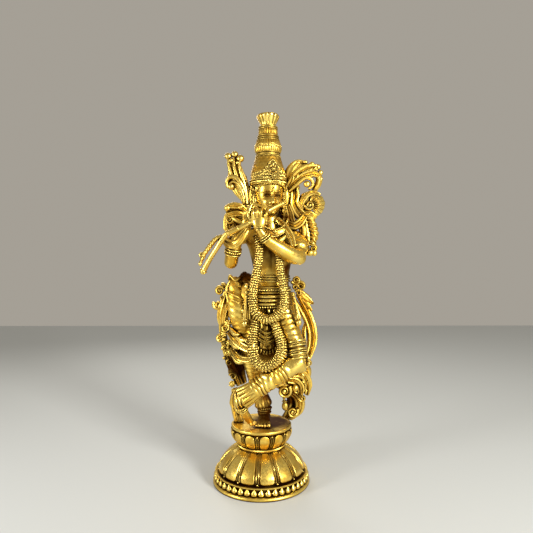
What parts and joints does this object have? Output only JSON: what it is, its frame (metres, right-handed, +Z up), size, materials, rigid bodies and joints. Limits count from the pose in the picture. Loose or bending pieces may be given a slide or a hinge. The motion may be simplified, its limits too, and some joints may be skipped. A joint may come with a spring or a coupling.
{
  "type": "hindu deity statue",
  "caption": "Cast brass statuette of a standing flute-playing deity with crossed legs, crown, garlands and scrolling sashes on a round double-lotus pedestal.",
  "frame": {"origin": "centre of the pedestal's underside, on the surface that the statue stands on", "axes": "+Z up, the figure faces -Y, +X towards the viewer's right when the viewer faces the figure"},
  "size_m": [0.158, 0.1208, 0.46],
  "materials": {
    "antique_brass": "cast brass, brushed bright on the high spots, with a dark brown patina left in the recesses",
    "polished_brass": "cast brass, buffed bright, with patina only in the deep lines",
    "fastener_steel": "zinc-plated steel, dull"
  },
  "bodies": {
    "root": {"arm_scarf": "polished_brass", "collar": "antique_brass", "crossed_foot": "polished_brass", "crossed_shin": "polished_brass", "crossed_thigh": "polished_brass", "crown_dome": "antique_brass", "crown_finial": "polished_brass", "crown_tower": "antique_brass", "deck_plate": "antique_brass", "flute": "polished_brass", "flute_tassel": "antique_brass", "front_pleats": "antique_brass", "hair": "antique_brass", "head": "polished_brass", "hip_drape": "antique_brass", "left_bracelet": "antique_brass", "left_forearm": "polished_brass", "left_hand": "polished_brass", "left_hip_scroll": "antique_brass", "left_plume": "polished_brass", "left_ribbon": "antique_brass", "left_shoulder_bow": "polished_brass", "left_upper_arm": "polished_brass", "left_waist_tassel": "polished_brass", "lotus_cup": "antique_brass", "lotus_skirt": "antique_brass", "lower_garland": "polished_brass", "lower_left_drape": "antique_brass", "lower_right_scroll": "antique_brass", "lower_swag": "polished_brass", "neck": "polished_brass", "pedestal_rim": "antique_brass", "pelvis": "antique_brass", "right_armlet": "antique_brass", "right_fan": "polished_brass", "right_forearm": "polished_brass", "right_hand": "antique_brass", "right_hip_scroll": "antique_brass", "right_plume": "polished_brass", "right_ribbon": "antique_brass", "right_scarf": "polished_brass", "right_tassel": "antique_brass", "right_upper_arm": "antique_brass", "right_waist_tassel": "polished_brass", "rim_beads": "antique_brass", "standing_foot": "antique_brass", "standing_leg": "antique_brass", "thigh_bands": "antique_brass", "tiara": "antique_brass", "tie_bolt": "fastener_steel", "tie_washer": "fastener_steel", "torso": "antique_brass", "upper_garland": "polished_brass", "upper_swag": "polished_brass", "waist_belt": "antique_brass", "waist_ring": "antique_brass"}
  },
  "joints": []
}
